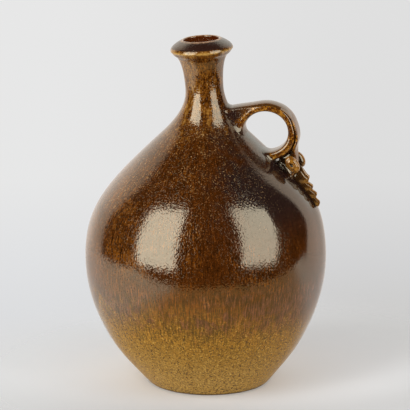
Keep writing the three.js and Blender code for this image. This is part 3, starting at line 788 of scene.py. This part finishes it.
def tail_run():
    """The tail's middle line in the handle's plane, from the ring to the shoulder."""
    radius = tail_centre_radius(TAIL_LEAVE, TAIL_LEAVE_THICKNESS)
    leave = on_ring(np.array(TAIL_LEAVE), np.array(radius), 0.0)[[0, 2]]
    foot_at, middle = np.array(TAIL_FOOT), np.array(0.0)
    end = on_shoulder(foot_at, middle, -TAIL_FOOT_THICKNESS / 2)[[0, 2]]
    above = on_shoulder(foot_at, middle, RING_STANDOFF)[[0, 2]]
    hold = leave + polar(TAIL_LEAVE - 90, RING_STANDOFF)
    return Path(bezier([leave, hold, above, end], TAIL_POINTS))


TAIL = tail_run()
SCROLL_TOP = SCROLL_PLACE - SCROLL_LENGTH / 2 / TAIL.length


def tail_index(share):
    """The tail's point at a share of its curve's own parameter."""
    return np.round(share * (TAIL_POINTS - 1)).astype(int)


def twist_at(share):
    return TAIL_TWIST * smooth(share, 0.0, SCROLL_TOP)


def turned_about_z(points, turn):
    x, y, z = np.moveaxis(points, -1, 0)
    cos, sin = np.cos(turn), np.sin(turn)
    return np.stack([x * cos - y * sin, x * sin + y * cos, z], -1)


def room_under(points, along):
    """How far points in the handle's plane can go before they meet the ring or shoulder."""
    steps = np.linspace(0.0, TAIL_FILL, 120)
    x, z = np.moveaxis(points[:, None] + along[:, None] * steps[None, :, None], -1, 0)
    from_x, from_z = (x - RING_CENTRE[0]) / RING_STRETCH, z - RING_CENTRE[2]
    angle = np.degrees(np.arctan2(from_z, from_x))
    in_ring = np.hypot(from_x, from_z) < RING_BORE_RADIUS + strap_thickness(angle)
    met = in_ring & (angle > RING_END)
    met |= vessel_distance(np.stack([x, np.zeros_like(x), z], -1))[0] < 0.0
    return np.where(met.any(1), steps[met.argmax(1)], TAIL_FILL)


def make_tail():
    across, depth = rounded_section(40, 0.5)
    start_width = STRAP_WIDTH - 2 * TAIL_INSET
    # First along the ring, by share, then free of it down to the shoulder, by run.
    share = np.linspace(0.0, 1.0, 70)[:-1]
    run = np.linspace(0.0, 1.0, 90)
    degrees = mix(TAIL_START, TAIL_LEAVE, share)
    on_strap = tail_thickness(share)
    centre = np.concatenate([
        on_ring(degrees, tail_centre_radius(degrees, on_strap), 0.0)[:, [0, 2]],
        TAIL.points[tail_index(run)],
    ])
    along = unit(np.gradient(TAIL.points, axis=0))[tail_index(run)]
    out = np.concatenate([
        np.stack([np.cos(np.radians(degrees)), np.sin(np.radians(degrees))], -1),
        np.stack([-along[:, 1], along[:, 0]], -1),
    ])
    thickness = np.concatenate([on_strap, mix(TAIL_LEAVE_THICKNESS, TAIL_FOOT_THICKNESS, run)])
    crown = np.concatenate([
        crown_at(degrees), mix(crown_at(TAIL_LEAVE), TAIL_FOOT_CROWN, smooth(run, 0.0, 0.5))])
    width = np.concatenate([
        np.full(len(share), start_width),
        mix(start_width, TAIL_FOOT_WIDTH, smooth(run, 0.0, SCROLL_TOP)),
    ])
    twist = np.concatenate([np.zeros(len(share)), twist_at(run)])
    # The underside is filled down to what lies below it.
    fill = room_under(centre - out * thickness[:, None] / 2, -out)
    fill[:len(share)] = 0.0
    filled = smooth(fill, 0.0, 2.0)[:, None] * smooth(-depth, -0.2, 0.5)[None]
    reach = depth[None] * thickness[:, None] / 2 + np.minimum(0.0, depth)[None] * fill[:, None]
    reach = reach + crown[:, None] * (1.0 - across ** 2)[None]
    aside = across[None] * width[:, None] / 2 * (1.0 - TAIL_FILL_NARROWS * filled)
    offset = np.stack([out[:, :1] * reach, aside, out[:, 1:] * reach], -1)
    rings = turned_about_z(offset, -twist[:, None])
    rings = rings + np.stack([centre[:, 0], np.zeros(len(centre)), centre[:, 1]], -1)[:, None]
    rings = filleted(rings, TAIL_FILLET)
    distance, _ = vessel_distance(rings)
    # The underside and the fill below it are painted dark, as painted shade in the crease under the
    # tail.
    make_piece("handle_tail", "handle_glaze", *lofted(rings, {
        "edge": smooth(np.abs(across), 0.72, 0.97)[None] * (1.0 - filled),
        "pool_and_shade": np.maximum(smooth(-depth, 0.3, 0.9)[None] * 0.8, filled * 0.95),
        "merge": smooth(distance, 2.5, 0.2) * 0.8,
    }))


def make_scroll(node, side):
    half = SCROLL_WIDTH / 2
    angle = np.radians(np.linspace(-90.0, 90.0, 44))
    round_part = mix(SCROLL_FACE_RADIUS, SCROLL_HEIGHT / 2, np.cos(angle))
    profile = np.concatenate([
        [[0.0, -half]],
        np.stack([round_part, half * np.sin(angle)], -1),
        bezier([[SCROLL_FACE_RADIUS, half], [SCROLL_PIT_RADIUS, half],
                [SCROLL_PIT_RADIUS, half - 0.6], [0.5, half - SCROLL_PIT_DEPTH]], 10)[1:],
        [[0.0, half - SCROLL_PIT_DEPTH]],
    ])
    turn = around(SCROLL_SIDES)
    radius, lift = profile[1:-1, :1], profile[1:-1, 1:]
    # A groove winds in from the rim to the pit on the outer face.
    wind = (radius - SCROLL_FACE_RADIUS) / WIND_PITCH - side * turn[None] / (2 * math.pi)
    groove = bell(wind % 1.0, 0.5, WIND_WIDTH) * smooth(lift, 0.2 * half, 0.7 * half)
    groove = groove * smooth(radius, SCROLL_FACE_RADIUS, SCROLL_FACE_RADIUS + 0.5)
    long_way = radius * np.cos(turn) * SCROLL_LENGTH / SCROLL_HEIGHT
    short_way = radius * np.sin(turn)
    offset = side * ((TAIL_FOOT_WIDTH + SCROLL_WIDTH) / 2 + SCROLL_GAP)
    cos, sin = math.cos(SCROLL_TILT), math.sin(SCROLL_TILT)
    middle = TAIL.points[tail_index(np.array(SCROLL_PLACE))]

    def placed(a, b, h):
        local = np.stack([a * cos + b * sin, offset + side * h, -a * sin + b * cos], -1)
        return turned_about_z(local, -twist_at(SCROLL_PLACE)) + [middle[0], 0.0, middle[1]]

    def spread(value):
        return with_ends(1.0, np.broadcast_to(value, groove.shape).ravel(), 1.0)

    rings = placed(long_way, short_way, lift - WIND_DEPTH * groove)
    ends = placed(np.zeros(2), np.zeros(2), profile[[0, -1], 1])
    points = with_ends(ends[0], rings.reshape(-1, 3), ends[1])
    faces = ring_faces(len(rings), SCROLL_SIDES, True)
    if side > 0:
        faces = [face[::-1] for face in faces]
    distance, _ = vessel_distance(rings)
    # The pit and the winding groove hold pooled glaze; the scroll is also painted dark where it
    # meets the shoulder and on its face towards the tail, as painted shade.
    pit = smooth(radius, SCROLL_FACE_RADIUS, SCROLL_PIT_RADIUS) * (lift > 0)
    pool_and_shade = np.maximum(pit, groove * 0.3)
    pool_and_shade = np.maximum(pool_and_shade, smooth(distance, 2.0, 0.3) * 0.8)
    pool_and_shade = np.maximum(pool_and_shade, smooth(lift, -0.3 * half, -0.9 * half))
    values = {"edge": spread(1.0 - 0.3 * groove), "pool_and_shade": spread(pool_and_shade), "merge": spread(0.0)}
    make_piece(node, "sprig_glaze", points, faces, values)


def make_leaf(node, start, length, half_width, root, crest, first, last, count):
    """A leaf laid down the shoulder, from first to last across: 1 far, 0 its fold, -1 near."""
    u = np.linspace(0.0, 1.0, 40)[:, None]
    a = np.linspace(first, last, count)[None]
    fold = np.abs(a)
    width = half_width * mix(LEAF_NARROW, 1.0, np.sin(math.pi * u))
    width = width * np.where(a < 0.0, LEAF_NEAR_SHARE, 1.0)
    ridge = mix(root, crest, smooth(u, 0.0, LEAF_CREST_AT))
    ridge = ridge * (1.0 - LEAF_TIP_DROP * smooth(u, LEAF_CREST_AT, 1.0))
    under = LEAF_SEAT + LEAF_EDGE_LIFT * fold ** 2 * smooth(u, 0.3, 1.0)
    thick = ridge + LEAF_LIFT * smooth(u, LEAF_LIFTS_FROM, 1.0)
    thick = thick * (1.0 - LEAF_FALL * fold ** LEAF_FALL_CURVE)
    # Rounded blade edges and tip, and a vein down the middle of each blade.
    rounding = rounded_off(fold, LEAF_RIM_FROM) * rounded_off(u, LEAF_TIP_FROM)
    shape = mix(LEAF_EDGE_SHARE, 1.0, rounding)
    vein = bell(fold, VEIN_PLACE, VEIN_WIDTH) * smooth(u, 0.1, 0.3) * smooth(u, 1.0, 0.85)
    middle = bell(fold, 0.0, FOLD_WIDTH)
    over = under + thick * shape - VEIN_DEPTH * vein - FOLD_DEPTH * middle
    run = start + length * u * (1.0 + LEAF_SCALLOP * np.sin(math.pi * fold))
    aside = np.sign(first + last) * LEAF_SPLIT + a * width
    upper = on_shoulder(run, aside, over)
    lower = on_shoulder(run, aside, np.minimum(under, over - 0.2))
    below = mix(upper, lower, 0.3)
    rings = np.concatenate([upper, below[:, -1:], lower[:, ::-1], below[:, :1]], axis=1)
    # Crests and raised tips are painted light, and the veins, the fold, the blade edges, the roots
    # tucked under the leaf before and the hidden underside are painted dark: painted highlight and
    # painted shade over the glaze that breaks and pools there.
    raised = smooth(u, 0.55, 0.85)
    bright = np.maximum(smooth(fold, 0.5, 0.2), raised) * (1 - 0.8 * vein) * (1 - 0.6 * middle)
    dark = np.maximum(np.maximum(vein * 0.7, middle * 0.6), smooth(u, 0.5, 0.15))
    dark = np.maximum(dark, smooth(fold, 0.45, 0.9) * (1 - 0.5 * raised))
    hidden = np.ones((len(u), count + 2))
    make_piece(node, "sprig_glaze", *lofted(rings, {
        "edge": np.concatenate([mix(0.35, 1.0, bright), 0.2 * hidden], axis=1),
        "pool_and_shade": np.concatenate([dark * 0.85, 0.9 * hidden], axis=1),
        "merge": np.zeros(rings.shape[:2]),
    }))


def make_leaves():
    start = TAIL_FOOT + TAIL_FOOT_THICKNESS / 2 + LUTE_GAP
    for leaf, length, *form in LEAVES:
        laid = (start - LEAF_TUCK, length + LEAF_TUCK, *form)
        if leaf == "leaf_tip":
            make_leaf(leaf, *laid, 1.0, -1.0, 41)
        else:
            make_leaf(leaf + "_near", *laid, 0.0, -1.0, 24)
            make_leaf(leaf + "_far", *laid, 1.0, 0.0, 24)
        start += length - LEAF_OVERLAP


make_body()
make_neck()
make_strap()
make_tail()
make_scroll("scroll_near", -1)
make_scroll("scroll_far", 1)
make_leaves()

# Camera, at the photograph's angle, and softboxes left and right of it. From here on in metres.
VIEW_AZIMUTH, VIEW_ELEVATION, VIEW_DISTANCE = 8.0, 14.3, 2.0972
LOOK_AT = np.array([0.0, 0.0, 0.11695])
IMAGE_SIZE, FOCAL_PIXELS, CENTRE_RIGHT, CENTRE_UP = 410, 3310.0, 0.75, 4.46
# Name, azimuth, elevation, distance, width, height, yaw with pitch and roll, and radiance.
SOFTBOXES = (
    ("softbox_left", -45.8, 26.0, 1.10, 0.840, 1.200, (0.44, 0.11, 0.22), 4.2),
    ("softbox_right", 65.2, 27.5, 1.10, 0.731, 1.218, (-0.36, 0.17, -0.25), 3.1),
)


def direction(azimuth, elevation):
    """Azimuth runs from -Y towards +X."""
    turn, rise = math.radians(azimuth), math.radians(elevation)
    level = math.cos(rise)
    return np.array([math.sin(turn) * level, -math.cos(turn) * level, math.sin(rise)])


def place_facing(item, azimuth, elevation, distance, yaw=0.0, pitch=0.0, roll=0.0):
    """Puts an object round LOOK_AT, with its -Z axis towards it and Y upwards, then turns it."""
    place = LOOK_AT + distance * direction(azimuth, elevation)
    back = unit(place - LOOK_AT)
    right = unit(np.cross([0.0, 0.0, 1.0], back))
    up = np.cross(back, right)
    turn = Matrix.Rotation(yaw, 4, "Y") @ Matrix.Rotation(pitch, 4, "X")
    turn = turn @ Matrix.Rotation(roll, 4, "Z")
    base = Matrix([[right[i], up[i], back[i], place[i]] for i in range(3)] + [[0, 0, 0, 1]])
    item.matrix_world = base @ turn
    bpy.context.scene.collection.objects.link(item)


def make_camera():
    lens = bpy.data.cameras.new("view")
    lens.sensor_width = 36.0
    lens.lens = FOCAL_PIXELS / IMAGE_SIZE * lens.sensor_width
    lens.shift_x = -CENTRE_RIGHT / IMAGE_SIZE
    lens.shift_y = -CENTRE_UP / IMAGE_SIZE
    lens.clip_start, lens.clip_end = 0.05, 50.0
    camera = bpy.data.objects.new("view", lens)
    place_facing(camera, VIEW_AZIMUTH, VIEW_ELEVATION, VIEW_DISTANCE)
    bpy.context.scene.camera = camera


def make_softboxes():
    for name, azimuth, elevation, distance, width, height, turns, radiance in SOFTBOXES:
        lamp = bpy.data.lights.new(name, "AREA")
        lamp.shape = "RECTANGLE"
        lamp.size, lamp.size_y = width, height
        lamp.energy = radiance * math.pi * width * height
        box = bpy.data.objects.new(name, lamp)
        place_facing(box, azimuth, elevation, distance, *turns)
        box.visible_camera = False


# World: the surround that the camera sees, by height from floor to wall, on its left and right.
SURROUND_RISE = (-0.306, -0.187)
SURROUND_LEFT = (
    (0.00, (0.700, 0.698, 0.690)), (0.12, (0.710, 0.710, 0.708)), (0.22, (0.716, 0.723, 0.735)),
    (0.34, (0.745, 0.752, 0.764)), (0.55, (0.797, 0.799, 0.799)), (1.00, (0.800, 0.800, 0.800)),
)
# Low down on the right the surround is darker, as painted shade on the floor there.
SURROUND_RIGHT = (
    (0.00, (0.675, 0.673, 0.668)), (0.12, (0.590, 0.583, 0.565)), (0.22, (0.606, 0.602, 0.594)),
    (0.34, (0.648, 0.648, 0.652)), (0.55, (0.722, 0.722, 0.722)), (1.00, (0.742, 0.742, 0.742)),
)
# What the object has round it: a bright backdrop behind it, and a dark room.
BACKDROP_LEFT_DIM, BACKDROP_LEFT = rgb(0.88, 0.75, 0.66), rgb(1.14, 1.08, 1.02)
BACKDROP_LEFT_LOW = rgb(0.80, 0.70, 0.62)
BACKDROP_RIGHT_DIM, BACKDROP_RIGHT = rgb(0.94, 0.82, 0.76), rgb(1.04, 1.06, 1.04)
BACKDROP_RIGHT_LOW = rgb(0.74, 0.66, 0.60)
ROOM_LIGHT, ROOM_REFLECTED = rgb(0.22, 0.22, 0.22), rgb(0.022, 0.014, 0.004)


def make_world():
    world = bpy.data.worlds.new("studio")
    bpy.context.scene.world = world
    world.use_nodes = True
    world.node_tree.nodes.clear()
    nodes = Nodes(world.node_tree)
    ray = nodes.add("ShaderNodeTexCoord", {}, "Generated")
    _, _, up = nodes.axes(ray)
    behind = -direction(VIEW_AZIMUTH, 0.0)
    rightwards = np.cross(behind, [0.0, 0.0, 1.0])
    level = nodes.level(ray)
    towards = nodes.dot(level, behind)
    on_right = nodes.span(nodes.dot(level, rightwards), -0.5, 0.5)

    def bowed(widest, at, bow):
        """A limit that draws in above and below the height where it is widest."""
        off = nodes.plus(up, -at)
        return nodes.math("SUBTRACT", widest, nodes.times(nodes.times(off, off), bow))

    edge_left = bowed(0.52, 0.22, 0.5)
    edge_right = bowed(0.55, 0.40, nodes.span(up, 0.3, 0.6, 0.65, 1.4))
    limit = nodes.add("ShaderNodeMix", {0: on_right, 2: edge_left, 3: edge_right})
    reach = nodes.math("SUBTRACT", towards, limit)
    backdrop = nodes.times(nodes.span(reach, -0.03, 0.03), nodes.span(up, 0.80, 0.66))
    left = nodes.blend(nodes.span(towards, 0.55, 0.92), BACKDROP_LEFT_DIM, BACKDROP_LEFT)
    left = nodes.blend(nodes.span(up, -0.12, -0.34), left, BACKDROP_LEFT_LOW)
    right = nodes.blend(nodes.span(up, 0.02, 0.18), BACKDROP_RIGHT_LOW, BACKDROP_RIGHT)
    right = nodes.blend(nodes.span(towards, 0.68, 0.86), BACKDROP_RIGHT_DIM, right)
    paths = nodes.paths()
    walls = nodes.blend(paths["Is Glossy Ray"], ROOM_LIGHT, ROOM_REFLECTED)
    room = nodes.blend(backdrop, walls, nodes.blend(on_right, left, right))
    rise = nodes.add("ShaderNodeMapRange", {
        "Value": up, "From Min": SURROUND_RISE[0], "From Max": SURROUND_RISE[1],
    })
    pale = nodes.blend(nodes.span(nodes.dot(ray, rightwards), -0.055, 0.055),
                       nodes.ramp(rise, SURROUND_LEFT), nodes.ramp(rise, SURROUND_RIGHT))
    shown = nodes.blend(paths["Is Camera Ray"], room, pale)
    surround = nodes.add("ShaderNodeBackground", {0: shown})
    nodes.add("ShaderNodeOutputWorld", {0: surround})


# Floor: a pale disc that fades into the surround for the camera, and a table for reflections.
FLOOR_RADIUS, FLOOR_SIDES, FADE_CENTRE = 1.4, 96, (0.03, 0.0, 0.0)
TABLE_FRONT, TABLE_MIDDLE = rgb(0.56, 0.39, 0.19), rgb(0.80, 0.68, 0.60)
TABLE_LEFT, TABLE_BACK = rgb(1.00, 0.96, 0.90), rgb(1.00, 0.98, 0.96)
FLOOR_FRONT, FLOOR_BACK = rgb(0.600, 0.600, 0.595), rgb(0.94, 0.95, 0.955)
FLOOR_CORNER = rgb(0.69, 0.69, 0.685)


def floor_material():
    material, nodes = new_material("floor")
    place = nodes.add("ShaderNodeTexCoord", {}, "Object")
    x, y, _ = nodes.axes(place)
    corner = nodes.math("SUBTRACT", x, y)
    paths = nodes.paths()
    fade = nodes.span(nodes.distance(place, FADE_CENTRE), 0.07, 0.22)
    off_table = nodes.span(y, -0.332, -0.342)
    for past in (nodes.span(corner, 0.49, 0.52), nodes.span(x, -0.61, -0.64),
                 nodes.span(y, 0.10, 0.40)):
        off_table = nodes.math("MAXIMUM", off_table, past)
    gone = nodes.math("MAXIMUM", nodes.times(fade, paths["Is Camera Ray"]),
                      nodes.times(off_table, paths["Is Glossy Ray"]))
    reflected = nodes.blend(nodes.span(y, -0.12, 0.14), TABLE_FRONT, TABLE_MIDDLE)
    reflected = nodes.blend(nodes.span(x, -0.06, -0.16), reflected, TABLE_LEFT)
    reflected = nodes.blend(nodes.span(y, 0.00, 0.09), reflected, TABLE_BACK)
    # For the camera the floor is painted darker in front and towards the right, as painted shade
    # where less light falls.
    seen = nodes.blend(nodes.span(y, -0.10, 0.0), FLOOR_FRONT, FLOOR_BACK)
    seen = nodes.blend(nodes.span(corner, 0.09, 0.18), seen, FLOOR_CORNER)
    shade = nodes.blend(paths["Is Glossy Ray"], seen, reflected)
    paper = nodes.add("ShaderNodeBsdfDiffuse", {"Color": shade})
    clear = nodes.add("ShaderNodeBsdfTransparent", {})
    shader = nodes.add("ShaderNodeMixShader", {0: gone, 1: paper, 2: clear})
    nodes.add("ShaderNodeOutputMaterial", {0: shader})
    return material


def make_floor():
    disc = bpy.data.meshes.new("floor")
    turn = around(FLOOR_SIDES)
    rim = np.stack([np.cos(turn), np.sin(turn), np.zeros(FLOOR_SIDES)], -1) * FLOOR_RADIUS
    disc.from_pydata(rim.tolist(), [], [list(range(FLOOR_SIDES))])
    disc.materials.append(floor_material())
    floor = bpy.data.objects.new("floor", disc)
    bpy.context.scene.collection.objects.link(floor)


make_camera()
make_softboxes()
make_world()
make_floor()

bpy.context.scene.view_settings.view_transform = "Standard"
